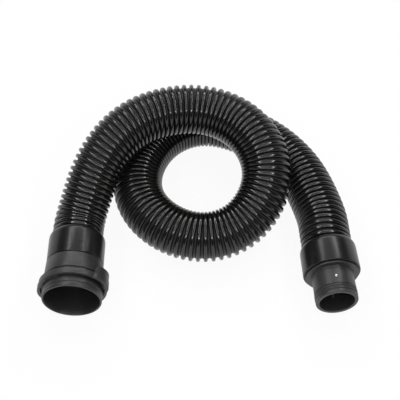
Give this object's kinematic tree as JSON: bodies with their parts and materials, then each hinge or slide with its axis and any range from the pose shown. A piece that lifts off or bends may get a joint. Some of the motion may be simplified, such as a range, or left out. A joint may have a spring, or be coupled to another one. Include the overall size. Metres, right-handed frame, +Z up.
{
  "type": "vacuum hose",
  "caption": "Flexible ribbed vacuum hose lying in one loose loop, with a swivel coupling and lock ring on one end and a swivel spigot with a snap button on the other.",
  "frame": {"origin": "on the floor, midway between the two end fittings", "axes": "+X from the machine end towards the tool end, -Y out of the machine socket's mouth, +Z up"},
  "size_m": [0.2869, 0.2295, 0.0928],
  "materials": {
    "hose_wall": "satin black, ribbed",
    "cuff_plastic": "semi-gloss moulded black",
    "coupling_plastic": "satin moulded dark grey",
    "ring_plastic": "satin moulded dark grey",
    "spigot_plastic": "semi-gloss moulded black",
    "bushing_plastic": "matte moulded black",
    "seal_rubber": "matte black",
    "clip_steel": "bright spring steel",
    "button_steel": "polished"
  },
  "bodies": {
    "hose_body": {"hose": "hose_wall", "machine_cuff": "cuff_plastic", "machine_hose_bushing": "bushing_plastic", "machine_swivel_seal": "seal_rubber", "machine_swivel_clip": "clip_steel", "tool_cuff": "cuff_plastic", "tool_hose_bushing": "bushing_plastic", "tool_swivel_seal": "seal_rubber", "tool_swivel_clip": "clip_steel"},
    "coupling_body": {"machine_coupling": "coupling_plastic", "socket_seal": "seal_rubber"},
    "lock_ring_body": {"lock_ring": "ring_plastic"},
    "spigot_body": {"tool_spigot": "spigot_plastic", "spigot_seal": "seal_rubber", "detent_spring": "clip_steel"},
    "button_body": {"detent_button": "button_steel"}
  },
  "joints": [
    {"name": "machine_swivel", "type": "hinge", "parent": "hose_body", "child": "coupling_body", "pos_m": [-0.1115, 0, 0.03035], "axis": [0, -1, 0], "continuous": true},
    {"name": "lock_ring_turn", "type": "hinge", "parent": "coupling_body", "child": "lock_ring_body", "pos_m": [-0.1115, -0.0196, 0.03035], "axis": [0, -1, 0], "range_deg": [0, 30]},
    {"name": "tool_swivel", "type": "hinge", "parent": "hose_body", "child": "spigot_body", "pos_m": [0.1142, 0.031, 0.0259], "axis": [0.1288, -0.9917, 0], "continuous": true},
    {"name": "detent_press", "type": "slide", "parent": "spigot_body", "child": "button_body", "axis": [0, 0, -1], "range_m": [0, 0.0016], "stiffness_N_per_m": 1200, "springref_m": -0.0016, "deforming": ["detent_spring"]}
  ]
}
